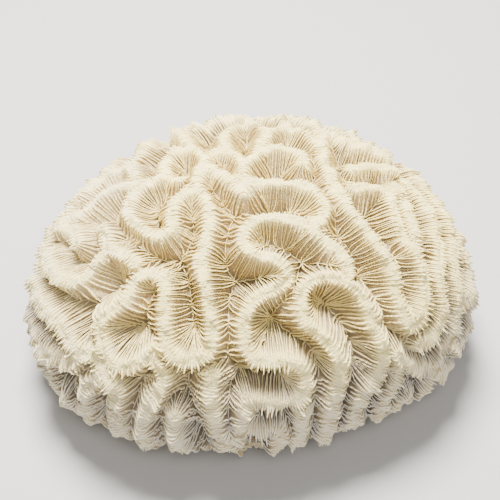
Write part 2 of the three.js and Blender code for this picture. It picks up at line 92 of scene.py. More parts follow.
# Crest lines of the walls on the dome unrolled flat: [to the right, to the back] in degrees down from
# the crown. Each list is one wall, and walls join where lists meet.
WALLS = [
    [[-19.5, -17], [-19.5, -12], [-19, -8], [-16.5, -5.5], [-13, -6], [-11.3, -10], [-11, -15],
     [-12, -21], [-13.5, -28], [-13, -35], [-12.5, -42], [-12, -49], [-13, -54.5], [-17, -57],
     [-21, -55.5], [-24, -51], [-24, -44], [-23, -37], [-22.5, -31]],
    [[-22.5, -31], [-24.5, -29], [-28, -29], [-30.5, -31], [-32.5, -34], [-36, -36.5], [-40, -38],
     [-42.5, -41], [-42.5, -45.5], [-41.5, -50], [-38, -53], [-33, -53.5], [-28.5, -51.5], [-24, -49]],
    [[-3, -7], [0, -4.5], [5, -4], [10.5, -4], [15, -6.5], [17, -11], [16.5, -15.5], [13.5, -18]],
    [[25, -30.5], [24.5, -28], [22, -25], [19, -23], [16, -20.5], [13.5, -18], [8, -17], [3, -17],
     [-1, -18.5], [-3, -22], [-3, -26], [0, -29], [4, -30], [7.5, -32], [9, -35.5], [6.5, -38.5],
     [2.5, -40.5], [-1, -43], [-3, -48], [-3, -54], [-0.5, -59], [5, -60], [11, -60], [15, -62.5],
     [17, -67], [16, -71.5], [11, -74], [5, -73.5], [-1, -73], [-4, -78], [-5, -85], [-8.5, -90],
     [-12.5, -88]],
    [[33, -94], [31.5, -86], [29.5, -77], [29, -70], [28.5, -64], [27.5, -59.5], [24, -55],
     [19.5, -51.5], [15, -48.5], [13, -44], [13.3, -39], [15.5, -35.5], [20, -33.5], [25, -34],
     [29.5, -36.5], [32.5, -40.5], [35.5, -45], [39.5, -49.5], [42.5, -55], [44, -60], [43, -65.5],
     [41.5, -71.5], [43, -79], [46, -87], [50, -95]],
    [[18.5, 28], [17.5, 20], [17, 12], [18, 4], [19, -2], [21, -6.5], [24, -11], [28, -15.5], [31, -19],
     [34.5, -23], [37.5, -27.5], [39.5, -31.5], [42, -35.5], [44.5, -39.5], [47.5, -40.5], [49.5, -37],
     [49.5, -32], [48, -27], [45.5, -21.5], [42.5, -17], [38.5, -13.5], [36.5, -8], [35.5, -3],
     [34, 1.5], [31, 1], [28, 0], [24, -1]],
    [[42.5, -17], [42, -11], [41, -5], [40, 1], [38, 6], [34, 1.5]],
    [[40, 15], [43, 12], [45, 8], [48.5, 2], [51, -4], [52, -10], [52.5, -16], [53.5, -21], [56, -26],
     [59, -31], [59.5, -36], [58, -41], [54, -45]],
    [[54, 20], [56, 12], [58, 4], [61, -5], [62, -12], [63, -18], [67, -24], [71, -30], [72, -37],
     [70, -44], [68, -50]],
    [[47, -51.5], [51, -53.5], [57, -53.5], [63, -52], [68, -50], [76, -50], [84, -46]],
    [[51, -53.5], [54, -58], [54, -63], [55, -70], [60, -77], [66, -85]],
    [[-29, -52.5], [-28, -56], [-27, -60.5], [-29.5, -64.5], [-34, -68.5], [-38, -73], [-41, -78],
     [-44, -84], [-49, -91]],
    [[-27, -74], [-28.5, -78], [-30, -83], [-31.5, -91], [-33, -100]],
    [[-13, -62.5], [-14, -68], [-14, -75], [-14, -83], [-12.5, -88], [-13, -94], [-12, -103]],
    [[-5, -85], [0, -86], [5, -85.5], [10, -86], [12, -90], [11, -97], [12, -105]],
    [[17.5, -78], [18.5, -83], [19, -90], [20, -99]],
    [[-50, -46.5], [-46.5, -47], [-45, -51.5], [-43, -56], [-42, -60], [-44, -64], [-48, -68],
     [-51, -74], [-56, -80], [-62, -86]],
    [[-44.5, -53], [-49, -55.5], [-54, -57.5], [-59, -60.5], [-64, -65], [-71, -71], [-78, -77]],
    [[-61, 27], [-64, 19], [-67, 11], [-69, 3], [-71, -5], [-72, -12], [-69, -19], [-65, -24.5],
     [-61, -29], [-57.5, -33], [-54.5, -37.5], [-53.5, -42], [-50, -46.5]],
    [[-92, 46], [-83, 43], [-76, 38], [-74, 30], [-77, 22], [-80, 14], [-83, 6], [-86, -3], [-87, -12],
     [-84, -20], [-79, -28], [-75, -34], [-71, -39], [-66, -43], [-61, -46], [-55.5, -47.5],
     [-50, -46.5]],
    [[-38.5, -11], [-37, -14], [-36, -18.5], [-32, -21.5], [-29, -25]],
    [[-36, -18.5], [-40, -21], [-43, -23.5], [-46.5, -25], [-51, -22.5], [-56, -18.5], [-60, -13],
     [-62, -7]],
    [[-56, -1], [-52, -4], [-48.5, -8], [-47, -12.5]],
    [[-27, 1], [-31, 3.5], [-36, 4.5], [-41, 4], [-46, 2], [-51, 0], [-56, -1], [-59, 4], [-59, 10]],
    [[-19.5, -17], [-22.5, -18.5], [-26.5, -15.5], [-30, -11], [-31.5, -6.5], [-30.5, -2], [-27, 1],
     [-22, 2], [-18.5, 0]],
    [[-22, 2], [-23.5, 7], [-24, 11], [-21, 14.5], [-16.5, 13.5], [-13.5, 9.5], [-13, 5], [-13.5, 0.5],
     [-14, -2.5], [-13, -6]],
    [[-13, 5], [-10.5, 2], [-8, -0.5], [-5.5, -3.5], [-3, -7]],
    [[-13.5, 9.5], [-11, 11.5], [-7.5, 10.5], [-4.5, 7], [-3, 3], [-3, -2], [-3, -7]],
    [[-3, 3], [-0.5, 8], [1.5, 14], [2.5, 20], [1.5, 26], [-3, 29], [-7.5, 25], [-8.5, 18], [-7.5, 10.5]],
    [[0.5, 11], [5, 11.5], [9, 11], [12, 8], [11.5, 4]],
    [[2.5, 20], [6, 24.5], [10.5, 25], [14, 21.5], [17, 15]],
    [[24.5, 7.5], [28, 9.5], [32, 12], [36, 14], [40, 15]],
    [[18.5, 28], [24, 23], [29, 23.5], [34, 25], [39, 26]],
    [[-31, 3.5], [-33, 9], [-35, 13], [-39, 16], [-44, 16.5], [-49, 15], [-53, 12]],
    [[-16.5, 13.5], [-19, 19], [-21, 26], [-17, 32], [-13, 37], [-7, 40.5], [0, 39.5], [5, 36], [8, 31],
     [10.5, 25]],
    [[18.5, 28], [17, 36], [13.5, 42], [9, 47], [8, 54], [11, 60], [18, 61], [23, 56.5], [24.5, 49],
     [28, 42], [31, 36], [30.5, 30], [29, 23.5]],
    [[39, 26], [40, 33], [40, 40], [37, 47], [34, 54], [35, 62], [41, 66], [48, 63], [53, 56], [53, 48],
     [51, 40], [51, 32], [54, 26], [54, 20]],
    [[-21, 26], [-23, 33], [-25, 40], [-22, 47], [-15, 51], [-8, 53], [-5, 59], [-8, 67], [-15, 71],
     [-23, 70], [-30, 65], [-35, 58], [-37, 50], [-36, 42], [-33, 34], [-33, 26], [-35, 19], [-39, 16]],
    [[-49, 15], [-47, 24], [-46, 32], [-48, 40], [-51, 48], [-57, 52], [-64, 50], [-64, 42], [-61, 35],
     [-61, 27]],
    [[-15, 71], [-14, 79], [-16, 88], [-14, 98], [-15, 106]],
    [[-30, 65], [-35, 72], [-38, 80], [-42, 88], [-46, 96]],
    [[2, 72], [0, 79], [2, 88], [0, 98], [1, 107]],
    [[15, 61], [18, 70], [17, 79], [19, 88], [17, 98], [19, 106]],
    [[31, 75], [33, 82], [31, 90], [34, 100]],
    [[45, 64.5], [48, 73], [47, 82], [52, 91]],
    [[53, 50], [60, 53], [66, 58], [68, 66], [73, 73], [80, 78]],
    [[53, 27], [61, 30], [66, 36], [67, 44], [73, 51], [82, 55], [92, 60]],
    [[67, -24], [73, -17], [73, -8], [70, 0], [70, 9], [75, 16], [75, 25], [80, 32], [90, 37], [100, 42]],
    [[72, -37], [80, -36], [88, -30], [90, -20], [87, -10], [89, 0], [98, 6], [106, 8]],
    [[89, 15], [97, 21], [105, 24]],
    [[84, -46], [93, -43], [103, -40]],
    [[88, -30], [98, -24], [106, -20]],
    [[75, -50], [80, -60], [88, -68]],
    [[69, -66], [76, -75], [80, -82]],
    [[-86, -3], [-96, 0], [-106, 2]],
    [[-80, 14], [-90, 20], [-101, 24]],
    [[-84, -20], [-94, -22], [-104, -24]],
    [[-75, -34], [-84, -40], [-95, -45]],
    [[-69, -41], [-77, -50], [-88, -59]],
    [[-72, -59], [-80, -67]],
    [[-57, 52], [-64, 60], [-68, 68], [-76, 76]],
    [[-77, 54], [-87, 61]],
    [[-50, 64], [-52, 72], [-56, 81], [-60, 89]],
    [[-27, 82], [-29, 91], [-30, 102]],
]


def smooth_step(x, low, high):
    """0 below low, 1 above high, and smooth in between."""
    x = np.clip((np.asarray(x, float) - low) / (high - low), 0.0, 1.0)
    return x * x * (3.0 - 2.0 * x)


def catmull(a, b, c, d, f):
    """Catmull-Rom curve from b to c, for f from 0 to 1."""
    curve = 2 * b + (c - a) * f + (2 * a - 5 * b + 4 * c - d) * f * f
    return 0.5 * (curve + (3 * b - a - 3 * c + d) * f ** 3)


def unit(vectors):
    """Vectors made one long."""
    return vectors / np.maximum(1e-9, np.linalg.norm(vectors, axis=-1, keepdims=True))


def degrees_down(st):
    """How far down from the crown unrolled places are, in degrees."""
    return np.hypot(st[..., 0], st[..., 1])


def outline_radius(azimuth):
    """Radius of the head at its widest level, in mm, for azimuths in radians."""
    turn = (azimuth % (2 * math.pi)) / (2 * math.pi) * len(OUTLINE)
    i = np.floor(turn).astype(int)
    ring = np.array(OUTLINE, float)
    a, b, c, d = (ring[(i + k) % len(OUTLINE)] for k in (-1, 0, 1, 2))
    return catmull(a, b, c, d, turn - i)


def flank(azimuth, down):
    """Share of the radius that the flattened flank leaves, for angles in radians."""
    away = np.abs((azimuth - math.radians(FLANK_AZIMUTH) + math.pi) % (2 * math.pi) - math.pi)
    near = 1.0 - smooth_step(away / math.radians(FLANK_WIDE), 0.0, 1.0)
    return 1.0 - FLANK_FLAT * near * smooth_step(down, *np.radians(FLANK_DOWN))


def dome_point(st):
    """Points of the smooth dome that touches every crest, in mm, for unrolled places in degrees."""
    down = np.radians(degrees_down(st))
    azimuth = np.arctan2(st[..., 1], st[..., 0])
    r = outline_radius(azimuth) * flank(azimuth, down) * np.sin(down)
    z = np.where(down < math.pi / 2, CROWN_RISE, UNDER_DROP) * np.cos(down)
    return np.stack([r * np.cos(azimuth), r * np.sin(azimuth), z], -1)


def unroll(points):
    """Unrolled places in degrees of points on or near the dome."""
    azimuth = np.arctan2(points[..., 1], points[..., 0])
    r = np.hypot(points[..., 0], points[..., 1]) / outline_radius(azimuth)
    z = points[..., 2] / np.where(points[..., 2] > 0, CROWN_RISE, UNDER_DROP)
    down = np.arctan2(r, z)
    down = np.arctan2(r / flank(azimuth, down), z)
    return np.degrees(down)[..., None] * np.stack([np.cos(azimuth), np.sin(azimuth)], -1)


def dome_normal(st):
    """Outward normals of the smooth dome."""
    across = dome_point(st + [0.5, 0.0]) - dome_point(st - [0.5, 0.0])
    back = dome_point(st + [0.0, 0.5]) - dome_point(st - [0.0, 0.5])
    return unit(np.cross(across, back))


def uphill(st):
    """Directions up the side of the dome, towards the crown."""
    return unit(dome_point(st * 0.995) - dome_point(st))


def inward(st):
    """The way the valleys are sunk into the dome: straight in near the crown, and tilted up the side
    lower down, so that the walls there hang over like shelves."""
    tilt = OVERHANG * smooth_step(degrees_down(st), *OVERHANG_DOWN)
    return tilt[..., None] * uphill(st) - dome_normal(st)


def crest_line(wall, pitch):
    """Places about one pitch apart, in mm, along a wall's crest."""
    knots = np.array(wall, float)
    knots = np.vstack([2 * knots[0] - knots[1], knots, 2 * knots[-1] - knots[-2]])
    f = np.linspace(0, 1, KNOT_STEPS, endpoint=False)[:, None]
    parts = [catmull(*knots[i:i + 4], f) for i in range(len(knots) - 3)]
    dense = np.vstack(parts + [knots[-2]])
    reach = np.linalg.norm(np.diff(dome_point(dense), axis=0), axis=1)
    along = np.concatenate([[0.0], np.cumsum(reach)])
    stops = np.linspace(0, along[-1], max(3, int(round(along[-1] / pitch)) + 1))
    return np.stack([np.interp(stops, along, dense[:, k]) for k in (0, 1)], -1)


def relief_depth(distance, down):
    """Depth below the dome at a distance from the nearest crest, in mm: a rounded crest with a shoulder
    on each side, then a straight steep slope. The walls fade out where the head curves in underneath."""
    past = distance - SHOULDER
    at_crest = math.sqrt(SHOULDER ** 2 + SHOULDER_ROUND ** 2) - SHOULDER
    slope = 0.5 * SLOPE * (np.sqrt(past * past + SHOULDER_ROUND ** 2) + past - at_crest)
    depth = WALL_HEIGHT * np.tanh((slope / WALL_HEIGHT) ** 3) ** (1.0 / 3.0)
    return depth * (1.0 - smooth_step(down, *WALL_FADE))


def worn(st):
    """How far the septa are rubbed down, from 0 to 1: most at the back left."""
    back_left = smooth_step(-st[..., 0], *WORN_LEFT) * smooth_step(st[..., 1], *WORN_BACK)
    return back_left * (1.0 - smooth_step(degrees_down(st), *WORN_DOWN))


def gap_depth(distance, st):
    """How far the skeleton between two septa lies below their edges, in mm: little on the crests near
    the crown, more on the slopes, less where the septa are worn, and little again underneath."""
    crest = GAP_CREST + GAP_CREST_LOW * smooth_step(degrees_down(st), *LOWER_SIDE)
    slope = GAP_SLOPE * (1.0 - GAP_WORN * worn(st)) * smooth_step(distance, *GAP_STARTS)
    return (crest + slope) * (1.0 - 0.7 * smooth_step(degrees_down(st), *GAP_FADE))


def search_tree(points):
    """A tree in which the point nearest to another one is found quickly."""
    tree = kdtree.KDTree(len(points))
    for number, point in enumerate(points):
        tree.insert(point, number)
    tree.balance()
    return tree


crest_places = np.vstack([crest_line(wall, CREST_PITCH) for wall in WALLS])
crest_points = dome_point(crest_places)
crest_tree = search_tree(crest_points)


def nearest_crest(points):
    """The crest point nearest to each point of the dome, and its distance in mm."""
    found = [crest_tree.find(p) for p in points.reshape(-1, 3)]
    feet = crest_points[[hit[1] for hit in found]].reshape(points.shape)
    return feet, np.array([hit[2] for hit in found]).reshape(points.shape[:-1])


def lattice(seed, size):
    """Smooth random numbers over space, mostly between -1 and 1, with lumps of one size in mm: a few
    crossed waves."""
    count = 14
    waves = np.random.default_rng(seed)
    way = waves.normal(size=(count, 3))
    length = np.linalg.norm(way, axis=1, keepdims=True)
    way *= (2 * math.pi / size) / length * waves.uniform(0.6, 1.6, (count, 1))
    phase = waves.uniform(0, 2 * math.pi, count)
    return lambda p: np.sin(p @ way.T + phase).sum(-1) / 3.7


def ball_facets(frequency):
    """Corners and facets of a ball made of an icosahedron's faces, each shared out finely."""
    g = (1 + math.sqrt(5)) / 2
    tips = np.array([(-1, g, 0), (1, g, 0), (-1, -g, 0), (1, -g, 0), (0, -1, g), (0, 1, g),
                     (0, -1, -g), (0, 1, -g), (g, 0, -1), (g, 0, 1), (-g, 0, -1), (-g, 0, 1)], float)
    sides = [(0, 11, 5), (0, 5, 1), (0, 1, 7), (0, 7, 10), (0, 10, 11), (1, 5, 9), (5, 11, 4),
             (11, 10, 2), (10, 7, 6), (7, 1, 8), (3, 9, 4), (3, 4, 2), (3, 2, 6), (3, 6, 8),
             (3, 8, 9), (4, 9, 5), (2, 4, 11), (6, 2, 10), (8, 6, 7), (9, 8, 1)]
    places = [(i, j) for i in range(frequency + 1) for j in range(frequency + 1 - i)]
    number = {place: n for n, place in enumerate(places)}
    share = np.array([(frequency - i - j, i, j) for i, j in places], float) / frequency
    small = []
    for i, j in places:
        if i + j < frequency:
            small.append((number[i, j], number[i + 1, j], number[i, j + 1]))
        if i + j < frequency - 1:
            small.append((number[i + 1, j], number[i + 1, j + 1], number[i, j + 1]))
    small = np.array(small)
    corners = np.vstack([share @ tips[list(side)] for side in sides])
    facets = np.vstack([small + n * len(places) for n in range(len(sides))])
    corners /= np.linalg.norm(corners, axis=1, keepdims=True)
    _, first, same = np.unique(np.round(corners, 6), axis=0, return_index=True, return_inverse=True)
    return corners[first], same.reshape(-1)[facets]


def even_angle(from_top):
    """Angle down the dome that leaves facets of about one size, and the share of the way in from the
    rim of the cut, for angles down the ball in degrees."""
    degrees = np.arange(0.0, 181.0)
    middle = np.radians(degrees[1:] - 0.5)
    side = np.where(np.cos(middle) > 0, CROWN_RISE, UNDER_DROP)
    strip = np.sin(middle) * np.hypot(MEAN_RADIUS * np.cos(middle), side * np.sin(middle))
    area = np.concatenate([[0.0], np.cumsum(strip)])
    whole = np.interp(CUT_ANGLE, degrees, area)
    share = whole * (1 - np.cos(np.radians(from_top))) / (1 - math.cos(math.radians(BALL_RIM)))
    down = np.where(from_top < BALL_RIM, np.interp(share, area, degrees), CUT_ANGLE)
    return down, np.clip((from_top - BALL_RIM) / (180.0 - BALL_RIM), 0.0, 1.0)


def coral_mesh(name, points, faces, attributes, smooth):
    """Mesh object in the part's frame from points in mm on the dome's own axes."""
    mesh = bpy.data.meshes.new(name)
    mesh.from_pydata(((points - MIDDLE) / 1000.0).tolist(), [], faces)
    for label, values in attributes.items():
        layer = mesh.attributes.new(label, "FLOAT", "POINT")
        layer.data.foreach_set("value", np.asarray(values, np.float32))
    mesh.polygons.foreach_set("use_smooth", [smooth] * len(mesh.polygons))
    mesh.update()
    piece = bpy.data.objects.new(name, mesh)
    bpy.context.scene.collection.objects.link(piece)
    return piece


lump = lattice(11, 26.0)
swell = lattice(14, 19.0)
knob = lattice(15, 9.0)
pebble = lattice(12, 5.0)
grain = lattice(13, 2.2)


def unevenness(points, st):
    """Lumps and hollows over the walls and valleys alike, in mm, stronger low down and at the back."""
    low = smooth_step(degrees_down(st), 62.0, 90.0)
    back = smooth_step(st[..., 1], 12.0, 32.0) * (1.0 - low)
    knobs = KNOBS * (1.0 + low + 1.2 * back) * knob(points)
    return SWELLS * swell(points) + knobs + PEBBLES * pebble(points)


def uneven_width(distance, points):
    """Distances from a crest in mm, stretched here and squeezed there, so that no two walls are alike."""
    return distance * (1.0 + WALL_UNEVEN * lump(points))


def valley_shade(wide, down):
    """How far down in a valley a place is, for its painted shade: 0 on a crest and 1 on a floor."""
    return np.clip(wide / WALL_REACH, 0, 1) * (1.0 - 0.85 * smooth_step(down, *SHADE_FADE))


def upslope_gaps(rising, distance, st):
    """How much deeper the gaps between the septa sink and how dark their painted shade is, from 0 to 1:
    most where a slope faces up, which is where the way from its crest rises."""
    share = smooth_step(distance, *UPSLOPE_SIDE) * smooth_step(degrees_down(st), *UPSLOPE_DOWN)
    return np.clip(rising, 0.0, 1.0) * share * (1.0 - 0.8 * worn(st))


ball, head_faces = ball_facets(HEAD_FACETS)
head_down, head_inward = even_angle(np.degrees(np.arccos(np.clip(ball[:, 2], -1, 1))))
head_azimuth = np.arctan2(ball[:, 1], ball[:, 0])
head_places = head_down[:, None] * np.stack([np.cos(head_azimuth), np.sin(head_azimuth)], -1)
head_points = dome_point(head_places)
head_feet, head_distance = nearest_crest(head_points)
head_wide = uneven_width(head_distance, head_points)
head_depth = relief_depth(head_wide, head_down) + gap_depth(head_wide, head_places)
head_depth += unevenness(head_points, head_places) + GRAINS * grain(head_points)
head_rising = ((head_points - head_feet) * uphill(head_places)).sum(-1) / np.maximum(1.0, head_distance)
head_upslope = upslope_gaps(head_rising, head_distance, head_places)
sunk = UPSLOPE_SINK * head_upslope * (1.0 - smooth_step(head_distance, 6.5, 9.5))
head_depth += sunk * (1.0 - smooth_step(head_down, 100.0, 120.0))
under = smooth_step(head_down, *RIBS_FROM) * (1.0 - smooth_step(head_down, RIBS_END, CUT_ANGLE))
head_depth += under * (0.5 + 0.5 * np.sin(head_azimuth * RIBS + 1.5 * lump(head_points)))
on_cut = head_inward > 0
head_depth[on_cut] = 0.0
head_points += inward(head_places) * head_depth[:, None]
head_points[on_cut, :2] *= (1.0 - head_inward[on_cut])[:, None]
head_points[on_cut, 2] = -CUT_BELOW
head_points[:, 2] = np.maximum(head_points[:, 2], -CUT_BELOW)
head_looks = {"fold": valley_shade(head_wide, head_down), "edge": np.zeros(len(head_points)),
              "upslope_shade": head_upslope}
head = coral_mesh("coral_head_skeleton", head_points, head_faces.tolist(), head_looks, True)


class Wire:
    """A socket in a material. Sums and products of wires add their Math nodes."""

    def __init__(self, tree, socket=None):
        self.tree = tree
        self.socket = socket

    def node(self, kind, settings=None, inputs=None, output=0):
        """A new node of a kind: its settings, what its sockets hold or are linked to, and its output."""
        made = self.tree.nodes.new(kind)
        for name, value in (settings or {}).items():
            setattr(made, name, value)
        for name, value in (inputs or {}).items():
            if isinstance(value, Wire):
                self.tree.links.new(value.socket, made.inputs[name])
            else:
                made.inputs[name].default_value = value
        return Wire(self.tree, made.outputs[output])

    def maths(self, operation, first, second):
        return self.node("ShaderNodeMath", {"operation": operation}, {0: first, 1: second})

    def __add__(self, other):
        return self.maths("ADD", self, other)

    def __radd__(self, other):
        return self.maths("ADD", other, self)

    def __sub__(self, other):
        return self.maths("SUBTRACT", self, other)

    def __rsub__(self, other):
        return self.maths("SUBTRACT", other, self)

    def __mul__(self, other):
        return self.maths("MULTIPLY", self, other)

    def __rmul__(self, other):
        return self.maths("MULTIPLY", other, self)

    def between(self, low, high):
        """0 below low, 1 above high, and smooth in between."""
        return self.node("ShaderNodeMapRange", {"interpolation_type": "SMOOTHSTEP"},
                         {"Value": self, "From Min": low, "From Max": high})

    def over(self, lower, upper):
        """This wire as a mask that lays the upper colour over the lower one."""
        return self.node("ShaderNodeMix", {"data_type": "RGBA"}, {0: self, 6: lower, 7: upper}, output=2)

    def noise(self, size, detail=4.0, rough=0.55):
        """Cloudy noise with lumps of one size in metres, over the object's own space."""
        place = self.node("ShaderNodeTexCoord", output=3)
        return self.node("ShaderNodeTexNoise", inputs={"Vector": place, "Scale": 1.0 / size,
                                                       "Detail": detail, "Roughness": rough})


def coral_material(name, colours):
    """Dry chalky skeleton: cream walls, pale septa's edges, and tan to brown painted shade in gaps and
    floors.
    """
    material = bpy.data.materials.new(name)
    material.use_nodes = True
    tree = material.node_tree
    surface = tree.nodes["Principled BSDF"]
    wire = Wire(tree)
    fold, edge, upslope_shade = (wire.node("ShaderNodeAttribute", {"attribute_name": label}, output=2)
                        for label in ("fold", "edge", "upslope_shade"))
    cloud = wire.noise(0.022)
    mottle = wire.noise(0.006)
    speck = wire.noise(0.0016, detail=3.0)
    crumb = wire.noise(0.0006, detail=3.0, rough=0.6)
    place = wire.node("ShaderNodeTexCoord", output=3)
    right, back, height = (wire.node("ShaderNodeSeparateXYZ", inputs={0: place}, output=axis)
                           for axis in range(3))

    # Where on the head: low down, where painted shade darkens it; far over to the worn left side; or there
    # and at the back, where the painted shade in the gaps is lighter and the edges are greyer.
    low = 1.0 - height.between(0.026, 0.064)
    left = (1.0 - (right + (cloud - 0.5) * 0.04).between(-0.060, -0.028)) * back.between(-0.085, -0.005)
    hazy = 1.0 - (1.0 - left) * (1.0 - back.between(0.020, 0.050) * 0.7)
    # Painted shade deep in the valleys low down, weaker on the left side.
    gloom = low * fold.between(0.20, 0.50) * (0.38 + right.between(-0.050, 0.005) * 0.52)

    # The gaps between septa, in painted shade that deepens from beside a crest down to the valley floor.
    ragged = fold + (mottle - 0.5) * 0.15
    tan = cloud.between(0.35, 0.65).over(colours["gap"], colours["ochre"])
    gap = ragged.between(0.10, 0.36).over(colours["hollow"], tan)
    gap = ragged.between(0.40, 0.80).over(gap, colours["brown"])
    gap = ragged.between(0.72, 1.02).over(gap, colours["floor"])
    # Painted shade in the gaps on slopes that face up.
    gap = (upslope_shade * 0.8).over(gap, colours["upslope_shade"])
    # On the left side and at the back the painted shade in the gaps is lighter, except low down.
    gap = (hazy * (1.0 - low) * 0.40).over(gap, colours["hollow"])
    # Painted shade over the gaps low down on the head.
    gap = (low * 0.5).over(gap, colours["low_shade"])
    gap = gloom.over(gap, colours["shade"])

    # The edges of the septa, darker with painted shade in the valleys and low down; then dark specks,
    # greying in patches, and greyish painted shade on the edges low down.
    # Painted shade on the septa's edges, darker deeper in the valleys.
    pale = fold.between(0.14, 0.55).over(colours["wall"], colours["septum"])
    # Painted shade on the septa's edges deep in the valleys low down.
    pale = gloom.over(pale, colours["low_shade"])
    ridge = (edge - low * 0.07).between(0.79, 0.93)
    base = ridge.over(gap, pale)
    # Small dark specks, painted shade of tiny pits in the skeleton.
    base = (speck.between(0.61, 0.70) * (1.0 - ridge * 0.4) * 0.45).over(base, colours["dark_speck"])
    base = (mottle.between(0.52, 0.75) * 0.20).over(base, colours["grey"])
    base = (hazy * (1.0 - low) * ridge * 0.4).over(base, colours["grey"])
    # Greyish painted shade on the septa's edges low down.
    base = (low * ridge * 0.75).over(base, colours["low_edge_shade"])
    tree.links.new(base.socket, surface.inputs["Base Color"])
    surface.inputs["Roughness"].default_value = 0.88
    surface.inputs["Subsurface Weight"].default_value = 0.35
    surface.inputs["Subsurface Radius"].default_value = (1.0, 0.9, 0.7)
    surface.inputs["Subsurface Scale"].default_value = 0.0008
    surface.inputs["Specular IOR Level"].default_value = 0.25
    bump = wire.node("ShaderNodeBump", inputs={"Strength": 0.8, "Distance": 0.0006,
                                               "Height": crumb + speck * 1.2})
    tree.links.new(bump.socket, surface.inputs["Normal"])
    return material


skeleton = coral_material("dry coral skeleton", {
    "wall": (1.0, 0.835, 0.34, 1.0),        # septa's edges on the crests
    "septum": (0.94, 0.735, 0.27, 1.0),     # their edges in the valleys, darker with painted shade
    "hollow": (0.88, 0.72, 0.36, 1.0),      # gaps beside a crest, where the painted shade is lightest
    "gap": (0.46, 0.355, 0.195, 1.0),       # painted shade in the gaps on the slopes, which turns to ochre in patches
    "ochre": (0.48, 0.35, 0.155, 1.0),
    "brown": (0.33, 0.25, 0.135, 1.0),      # painted shade, darker, in the gaps at the foot of a slope
    "floor": (0.27, 0.21, 0.125, 1.0),      # painted shade, darkest, on the valley floors
    "upslope_shade": (0.20, 0.155, 0.10, 1.0),       # painted shade in the gaps on slopes that face up
    "low_shade": (0.215, 0.182, 0.15, 1.0),      # painted shade low down on the head, over its gaps and its septa's edges deep in the valleys
    "shade": (0.045, 0.037, 0.031, 1.0),    # deep in the valleys low down
    "dark_speck": (0.30, 0.26, 0.22, 1.0),        # small dark specks, painted shade of tiny pits
    "grey": (0.78, 0.715, 0.59, 1.0),       # greying in patches, on the left and at the back
    "low_edge_shade": (0.71, 0.665, 0.595, 1.0),       # greyish painted shade on the septa's edges low down
})
head.data.materials.append(skeleton)
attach(head, "root")
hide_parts("coral_head")

# ---------------------------------------------------------------------------------------------------
# The septa: thin toothed plates of the same skeleton, grown side by side at right angles to every wall.
# Each runs from a wall's crest down to the valley, long and short ones in turn, and turns in towards
# the nearest mouth, where the polyp sat, so that they meet there like the spokes of a star.
# ---------------------------------------------------------------------------------------------------
SEPTA_PITCH = 0.90     # mm along the crest
STEP = 0.52            # mm along a septum
LONGEST = 14.0         # mm from the crest
MOST_STEPS = int(LONGEST / STEP)
SHORTEST = 1.8         # mm, a septum with less room than this doesn't grow
RIVAL = 0.45           # mm by which another wall has to be nearer to end a septum
ASTRAY = 0.03          # radians, about how far a septum may start off square to its wall
FAN_STEPS = 14         # steps from the crest to where the spread of neighbours is measured
FAN_SPREAD = 1.75      # mm, neighbours spread wider than this have more septa between them
FAN_PITCH = 1.2        # mm between those
FAN_MOST = 4           # and their greatest number
END_CLEAR = 2.2        # mm around the end of a wall
END_CROWD = 14         # crest points in that circle, above which another wall goes on from the end
END_TURN = 10.0        # degrees between the septa of the fan around a free end
BARE_GAP = 0.85        # mm, a place farther than this from every septum is bare
RESOWN_APART = 0.9     # mm, least distance between a bare place and what has been sown for another
VALLEYS_END = 112.0    # degrees down where the last septa are sown
SEPTA_END = 118.0      # degrees down where the plates end
MOUTHS_APART = 8.5     # mm
TOOTH = 0.50           # mm, depth of the notches in a septum's edge
TOOTH_WAVE = (3.6, 5.6)       # radians a mm, for teeth 1.1 to 1.7 mm apart
EDGE_UP_DOWN = (-0.12, 0.15)  # mm, how much higher or lower one septum's edge lies than another's
EDGE_ROUGH = 0.05      # mm, small unevenness of an edge, up and down and to the sides
PRICK = 0.40           # mm, greatest height of a single small spine near the crest, and its width
PRICK_PLACE = (0.0, 3.2)      # mm from the crest where it may stand
SHORT_LOW = 1.25       # mm, how much lower the short septa's edges lie on the slopes
SHORT_LESS = 0.65      # mm, how much less than that it is on the steep side
LOBE = (0.0, 0.7)      # mm, how far a septum stands out over the crest
LOBE_OVER = (0.9, 2.5)        # mm, how much farther where it hangs over the valley below
LOBE_PLACE = 1.6       # mm from the crest
LOBE_WIDE = 0.8        # mm
LONG_HALF = (0.17, 0.29)      # mm, half the thickness of a long septum in a valley, and what a crest adds
SHORT_HALF = (0.10, 0.31)     # mm, the same for a short one
PLATE_DEEP = 4.2       # mm, how deep a plate goes into the skeleton
FLOOR_PLATE_HALF = 0.16  # mm, half the thickness of the plates along the valley floors
FLOOR_PLATE_LOW = 0.7  # mm, how far their edges lie below the septa's
FLOOR_STEPS = 20       # points along each of them
FLOOR_JOIN = 1.8       # mm, septa of two mouths with tips this close join those mouths
CROWN_PART = 42.0      # degrees down to which the crown's two meshes of septa reach
FULL_TURN = 6.28       # radians
dice = np.random.default_rng(5)


def walk(places, heading, steps):
    """Places met when walking straight over the dome from each place, one STEP at a time."""
    points = dome_point(places)
    trail = [places]
    for _ in range(steps):
        places = unroll(points + heading * STEP)
        points = dome_point(places)
        normal = dome_normal(places)
        heading = unit(heading - normal * (heading * normal).sum(-1, keepdims=True))
        trail.append(places)
    return np.stack(trail, 1)


def lengths(trail):
    """How many steps each walk takes before another wall is nearer than its own, and how far from the
    nearest crest each of its places is."""
    _, near = nearest_crest(dome_point(trail))
    walked = np.arange(trail.shape[1]) * STEP
    over = near < walked[None, :] - RIVAL
    first = np.where(over.any(1), over.argmax(1), trail.shape[1])
    return first - 1, near


sown = []


def sow(place, heading, first, thin):
    """Notes one septum: where on a crest it belongs, its direction, its first step and if it is short."""
    sown.append((place, heading / np.linalg.norm(heading), first, thin))


